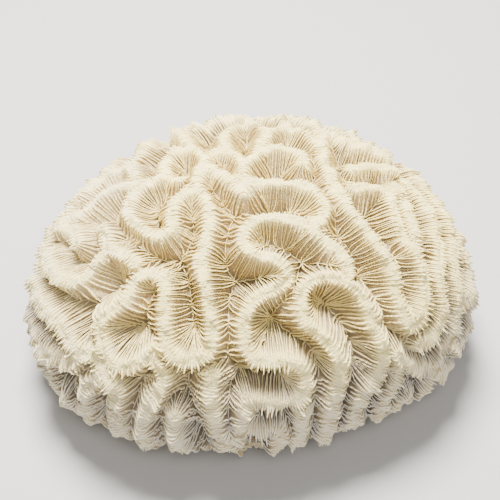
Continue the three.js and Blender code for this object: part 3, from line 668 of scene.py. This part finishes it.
def sow_side(places, points, heading):
    """Septa along one side of a wall, with more between them where the wall bends and they spread."""
    ends = dome_point(walk(places, heading, FAN_STEPS)[:, -1])
    spread = np.linalg.norm(np.diff(ends, axis=0), axis=1)
    gap = np.linalg.norm(np.diff(points, axis=0), axis=1)
    for n in range(len(places)):
        sow(places[n], heading[n], 0, n % 2 == 1)
        if n == len(places) - 1 or spread[n] < FAN_SPREAD:
            continue
        extra = int(min(FAN_MOST, round(spread[n] / FAN_PITCH - 0.6)))
        room = max(0.12, (FAN_PITCH - gap[n]) / max(0.3, spread[n] - gap[n]))
        for k in range(extra):
            f = (k + 1) / (extra + 1)
            place = places[n] * (1 - f) + places[n + 1] * f
            way = heading[n] * (1 - f) + heading[n + 1] * f
            sow(place, way, int(FAN_STEPS * room) + (k % 2) * 2, k % 2 == 0)


def sow_end(place, point, out, across):
    """A fan of septa around the end of a wall, unless another wall goes on from there."""
    if (np.linalg.norm(crest_points - point, axis=1) < END_CLEAR).sum() > END_CROWD:
        return
    for k in range(-8, 9):
        turn = math.radians(END_TURN * k)
        way = out * math.cos(turn) + across * math.sin(turn)
        sow(place, way, 1 if k % 2 == 0 else 5, k % 2 != 0)


for wall in WALLS:
    places = crest_line(wall, SEPTA_PITCH)
    points = dome_point(places)
    tangent = unit(np.gradient(points, axis=0))
    across = np.cross(dome_normal(places), tangent)
    for side in (1.0, -1.0):
        sow_side(places, points, across * side + tangent * dice.normal(0, ASTRAY, (len(points), 1)))
    for end, way in ((0, -1.0), (-1, 1.0)):
        sow_end(places[end], points[end], tangent[end] * way, across[end])


def grown():
    """Walks every septum sown so far, and keeps the ones with room to grow: their places, number of
    steps, distances from the nearest crest, first steps, and which of them are short."""
    places, heading, begin, minor = (np.array(column) for column in zip(*sown))
    trails = walk(places, heading, MOST_STEPS)
    steps, near = lengths(trails)
    kept = (steps - begin) * STEP > SHORTEST
    return trails[kept], steps[kept], near[kept], begin[kept], minor[kept]


# Bare places between the fans of septa are sown again, each from the crest point nearest to it.
trails, steps, *_ = grown()
covered = search_tree(dome_point(trails[np.arange(trails.shape[1])[None, :] <= steps[:, None]]))
bare = []
for place, distance in zip(head_places, head_distance):
    if 2.0 < distance < WALL_REACH + 3 and degrees_down(place) < VALLEYS_END:
        gap = covered.find(dome_point(place))[2]
        if gap > BARE_GAP:
            bare.append((-gap, place[0], place[1], distance))
resown = np.zeros((0, 3))
for _, right, back, distance in sorted(bare):
    point = dome_point(np.array([right, back]))
    if len(resown) and np.linalg.norm(resown - point, axis=1).min() < RESOWN_APART:
        continue
    crest, foot, _ = crest_tree.find(point)
    first = max(0, int((distance - 3.0) / STEP))
    sow(crest_places[foot], point - np.array(crest), first, len(sown) % 2 == 1)
    place, heading, _, _ = sown[-1]
    ray = dome_point(walk(place[None], heading[None], MOST_STEPS))[0]
    resown = np.vstack([resown, ray[first:int(distance / STEP) + 6]])
trails, steps, near, begin, minor = grown()

# The mouths: the widest places of the valleys, one after another, none closer than MOUTHS_APART.
septa = len(trails)
rows = np.arange(septa)
tips = dome_point(trails[rows, steps])
mouths = []
for n in np.argsort(-near[rows, steps] + dice.uniform(0, 0.8, septa)):
    if all(np.linalg.norm(tips[n] - mouth) > MOUTHS_APART for mouth in mouths):
        mouths.append(tips[n])
mouths = np.array(mouths)

# Every septum bends towards the mouth nearest to its tip, and reaches it if it is close.
apart = np.linalg.norm(tips[:, None, :] - mouths[None, :, :], axis=2)
nearest = apart.argmin(1)
reach = apart[rows, nearest]
pull = (mouths[nearest] - tips) * (0.90 - 0.64 * smooth_step(reach, 1.2, 5.0))[:, None]
bend = 2.6 + 4.0 * smooth_step(reach, 0.5, 4.0)

# Which steps of each septum are there. The short ones stop earlier and have half as many points.
k = np.arange(trails.shape[1])[None, :]
last = steps.copy()
last[minor] = np.round(begin + (steps - begin) * dice.uniform(0.82, 1.0, septa)).astype(int)[minor]
shown = (k >= begin[:, None]) & (k <= last[:, None])
shown &= ~(minor[:, None] & ((k - begin[:, None]) % 2 == 1))
shown &= degrees_down(trails) < SEPTA_END + 3.0 * lump(dome_point(trails))
shown[shown.sum(1) < 3] = False

# Where each point of a septum is: on the dome, from its own crest, between crests, and along its length.
along = np.clip(k / np.maximum(1, steps)[:, None], 0.0, 1.0)
places = unroll(dome_point(trails) + pull[:, None, :] * (along ** bend[:, None])[..., None])
points = dome_point(places)
down = degrees_down(trails)
distance = k * STEP + np.zeros(trails.shape[:2])
wide = uneven_width(near, points)
tip = np.clip((k - begin[:, None]) / np.maximum(1, last - begin)[:, None], 0.0, 1.0)
slim = np.where(minor, 1.0, 0.0)[:, None]

# How deep the edge lies in mm: with the wall, notched into teeth, and lower on the short septa.
rough = smooth_step(distance, 2.0, 5.0) * (1.0 + 0.8 * smooth_step(down, 55.0, 90.0))
calm = 0.25 + 0.75 * smooth_step(swell(points) + smooth_step(down, 40.0, 75.0), -0.2, 1.0)
wave = np.sin(distance * dice.uniform(*TOOTH_WAVE, (septa, 1)) + dice.uniform(0, FULL_TURN, (septa, 1))
              + dice.normal(0, 0.5, distance.shape))
top = relief_depth(wide, down) + unevenness(points, trails)
top += TOOTH * rough * calm * np.clip(wave, -0.4, 1.0) * 0.8
top += dice.uniform(*EDGE_UP_DOWN, (septa, 1)) * (0.4 + 0.6 * smooth_step(distance, 1.5, 4.0))
top += dice.normal(0, EDGE_ROUGH, distance.shape)
prick = dice.uniform(*PRICK_PLACE, (septa, 1))
top -= dice.uniform(0.0, PRICK, (septa, 1)) * np.exp(-((distance - prick) / PRICK) ** 2)
hidden = SHORT_LOW - SHORT_LESS * smooth_step(down, 60.0, 85.0)
top += slim * (0.03 + hidden * smooth_step(distance, *GAP_STARTS) + 0.6 * smooth_step(tip, 0.85, 1.0))
top += np.where(begin > 0, 1.0, 0.0)[:, None] * (1.0 - smooth_step(tip, 0.0, 0.3))
top += 0.7 * smooth_step(down, 116.0, 130.0) * gap_depth(wide, places)

# The septa on the lower side of a wall end in points near its crest, which hang over the valley below.
first_way = (dome_point(trails[:, 1]) - dome_point(trails[:, 0])) / STEP
rising = (first_way * uphill(trails[:, 0])).sum(-1)
over = np.clip(-rising, 0.0, 1.0) * smooth_step(down[:, 0], 15.0, 55.0)
over = (over * (1.0 - 0.6 * smooth_step(down[:, 0], 98.0, 116.0)))[:, None]
lobe = dice.uniform(*LOBE, (septa, 1)) + dice.uniform(*LOBE_OVER, (septa, 1)) * over
pointed = np.exp(-((distance - LOBE_PLACE) / LOBE_WIDE) ** 2)
lobe = lobe * (1.0 - 0.6 * slim) * pointed
path = np.gradient(points, axis=1) / STEP
push = lobe[..., None] * (0.7 * dome_normal(places) + 0.9 * over[..., None] * path)
push += np.cross(dome_normal(places), path) * dice.normal(0, EDGE_ROUGH, distance.shape)[..., None]

# Half the thickness in mm: most on the crest, less along the slope, and thin at the points.
flare = 1.0 - smooth_step(distance, 1.0 - 0.7 * over, 4.0 - 2.0 * over)
flare = flare * (1.0 - 0.55 * smooth_step(down, *LOWER_SIDE))
half = np.where(minor[:, None], SHORT_HALF[0] + SHORT_HALF[1] * flare, LONG_HALF[0] + LONG_HALF[1] * flare)
half = half * (1.0 - 0.35 * tip ** 3) * dice.uniform(0.85, 1.15, (septa, 1))
half = half * (1.0 - 0.65 * np.clip(over + 0.3, 0, 1) * pointed)


def plates(points, places, shown, top, half, push):
    """Thin upright plates, one per row, from their points on the dome, which of them are used, the depth
    of the edge, half the thickness and a push on the edge, all in mm. Gives the edge's two sides, the
    bottom, and the row of each point used."""
    inside = inward(places)
    flat = np.cross(dome_normal(places), unit(np.gradient(points, axis=1)))
    upper = points + inside * top[..., None] + push
    lower = points + inside * (top + PLATE_DEEP)[..., None]
    left = (upper + flat * half[..., None])[shown]
    right = (upper - flat * half[..., None])[shown]
    return left, right, lower[shown], np.nonzero(shown)[0]


def part_number(down, start):
    """Which of the six meshes of septa a plate belongs to, by how far down and where it starts."""
    around = np.where(down < CROWN_PART, 0, np.where(start[:, 1] > 0, 1, 2))
    return around * 2 + (start[:, 0] < 0)


left, right, lower, row = plates(points, places, shown, top, half, push)
fold = valley_shade(wide, down)[shown]
# Where painted shade darkens the gaps on slopes that face up.
upslope_shade = upslope_gaps(rising[:, None], distance, trails)[shown]
part = part_number(down[:, 0], points[:, 0])

# Low winding plates along the valley floors, from each mouth to the next one.
links = {}
tip_tree = search_tree(tips)
for n, point in enumerate(tips):
    for _, m, _ in tip_tree.find_range(point, FLOOR_JOIN):
        if nearest[m] > nearest[n] and degrees_down(unroll(point)) < VALLEYS_END:
            links.setdefault((nearest[n], nearest[m]), []).append((point + tips[m]) / 2)
pairs = sorted(links)
first = np.array([mouths[a] for a, b in pairs])[:, None, :]
second = np.array([mouths[b] for a, b in pairs])[:, None, :]
bridge = np.array([np.mean(links[pair], axis=0) for pair in pairs])[:, None, :]
f = np.linspace(0, 1, FLOOR_STEPS)[None, :, None]
sway = dice.normal(0, 0.25, (len(pairs), 1, 3))
sway = sway * np.sin(f * dice.uniform(8, 14, (len(pairs), 1, 1))) * np.sin(f * math.pi)
hinge = (2 * bridge - 0.5 * (first + second)) * 2 * f * (1 - f)
floor_places = unroll(first * (1 - f) ** 2 + hinge + second * f ** 2 + sway)
floor_points = dome_point(floor_places)
floor_down = degrees_down(floor_places)
floor_wide = uneven_width(nearest_crest(floor_points)[1], floor_points)
floor_top = relief_depth(floor_wide, floor_down) + unevenness(floor_points, floor_places) + FLOOR_PLATE_LOW
floor_top += dice.uniform(-0.1, 0.25, floor_top.shape)
floor_half = np.full(floor_top.shape, FLOOR_PLATE_HALF)
everywhere = np.ones(floor_top.shape, bool)
floors = plates(floor_points, floor_places, everywhere, floor_top, floor_half, 0.0)
left = np.concatenate([left, floors[0]])
right = np.concatenate([right, floors[1]])
lower = np.concatenate([lower, floors[2]])
row = np.concatenate([row, floors[3] + septa])
part = np.concatenate([part, part_number(floor_down[:, 0], floor_points[:, 0])])
fold = np.concatenate([fold, np.clip(floor_wide / WALL_REACH, 0, 1).ravel()])
upslope_shade = np.concatenate([upslope_shade, np.zeros(floor_wide.size)])


def plate_mesh(left, right, lower, row):
    """Corners and faces of a set of plates. Each is a wedge: an edge face and two sides meeting below."""
    count = len(row)
    corners = np.concatenate([left, right, lower])
    here = np.nonzero(row[1:] == row[:-1])[0]
    a, b, c = here, here + count, here + 2 * count
    quads = np.concatenate([np.stack([a, a + 1, b + 1, b], 1), np.stack([a, c, c + 1, a + 1], 1),
                            np.stack([b, b + 1, c + 1, c], 1)])
    first = np.nonzero(np.concatenate([[True], row[1:] != row[:-1]]))[0]
    final = np.concatenate([first[1:] - 1, [count - 1]])
    ends = np.concatenate([np.stack([first, first + count, first + 2 * count], 1),
                           np.stack([final, final + 2 * count, final + count], 1)])
    return corners, quads.tolist() + ends.tolist()


names = ["septa_crown_right", "septa_crown_left", "septa_back_right", "septa_back_left",
         "septa_front_right", "septa_front_left"]
for number, name in enumerate(names):
    mine = part[row] == number
    points, faces = plate_mesh(left[mine], right[mine], lower[mine], row[mine])
    looks = {"fold": np.tile(fold[mine], 3), "edge": np.repeat([1.0, 1.0, 0.0], mine.sum()),
             "upslope_shade": np.tile(upslope_shade[mine], 3)}
    piece = coral_mesh(name, points, faces, looks, False)
    piece.data.materials.append(skeleton)
    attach(piece, "root")

# ---------------------------------------------------------------------------------------------------
# The studio: a plain pale floor, wide enough that the camera sees no edge of it, one large soft light
# from above and behind, a weaker one from the front, and the camera looking down on the head.
# ---------------------------------------------------------------------------------------------------
FLOOR_HALF = 4.0       # m, the floor's middle to its sides
FLOOR_COLOUR = (0.46, 0.455, 0.45, 1.0)
SKY_COLOUR = (0.93, 0.96, 1.0, 1.0)
SKY_STRENGTH = 0.18
LIT_SPOT = (0.0, 0.0, 0.05)    # m, what the lights point at
CAMERA_RISE = 44.0     # degrees above the horizon, seen from the head
CAMERA_AWAY = 0.420    # m from the middle of the widest level
CAMERA_LENS = 69.7     # mm, with a sensor 36 mm wide
CAMERA_AIM = np.array([-0.0025, 0.0, 0.023])  # m, from the middle of the widest level

floor_mesh = bpy.data.meshes.new("floor")
floor_corners = [(x * FLOOR_HALF, y * FLOOR_HALF, 0.0) for x, y in ((-1, -1), (1, -1), (1, 1), (-1, 1))]
floor_mesh.from_pydata(floor_corners, [], [(0, 1, 2, 3)])
floor = bpy.data.objects.new("floor", floor_mesh)
bpy.context.scene.collection.objects.link(floor)
paper = bpy.data.materials.new("pale paper")
paper.use_nodes = True
paper.node_tree.nodes["Principled BSDF"].inputs["Base Color"].default_value = FLOOR_COLOUR
paper.node_tree.nodes["Principled BSDF"].inputs["Roughness"].default_value = 0.9
floor_mesh.materials.append(paper)

world = bpy.data.worlds.new("studio")
bpy.context.scene.world = world
world.use_nodes = True
world.node_tree.nodes["Background"].inputs["Color"].default_value = SKY_COLOUR
world.node_tree.nodes["Background"].inputs["Strength"].default_value = SKY_STRENGTH


def aim_rotation(toward):
    """Turn that points an object's -Z along a direction, with +Y up."""
    toward = toward / np.linalg.norm(toward)
    pitch = math.acos(-toward[2])
    yaw = math.atan2(toward[1], toward[0]) - math.pi / 2
    return (pitch, 0.0, yaw)


def soft_light(name, place, size, watts, colour):
    """A round soft light at a place in metres, pointed at the head."""
    lamp = bpy.data.lights.new(name, "AREA")
    lamp.shape = "DISK"
    lamp.size = size
    lamp.energy = watts
    lamp.color = colour
    holder = bpy.data.objects.new(name, lamp)
    holder.location = place
    holder.rotation_euler = aim_rotation(np.array(LIT_SPOT) - np.array(place))
    bpy.context.scene.collection.objects.link(holder)


soft_light("key", (-0.09, 0.30, 0.97), size=0.45, watts=61.0, colour=(1.0, 0.957, 0.893))
soft_light("fill", (0.10, -0.68, 0.86), size=0.60, watts=8.2, colour=(1.0, 0.98, 0.97))

centre = np.array([-MIDDLE[0], -MIDDLE[1], CUT_BELOW]) / 1000.0
rise = math.radians(CAMERA_RISE)
eye = centre + CAMERA_AWAY * np.array([0.0, -math.cos(rise), math.sin(rise)])
camera = bpy.data.cameras.new("camera")
camera.lens = CAMERA_LENS
camera.sensor_width = 36.0
camera.clip_start = 0.01
viewer = bpy.data.objects.new("camera", camera)
viewer.location = eye
viewer.rotation_euler = aim_rotation(centre + CAMERA_AIM - eye)
bpy.context.scene.collection.objects.link(viewer)
bpy.context.scene.camera = viewer
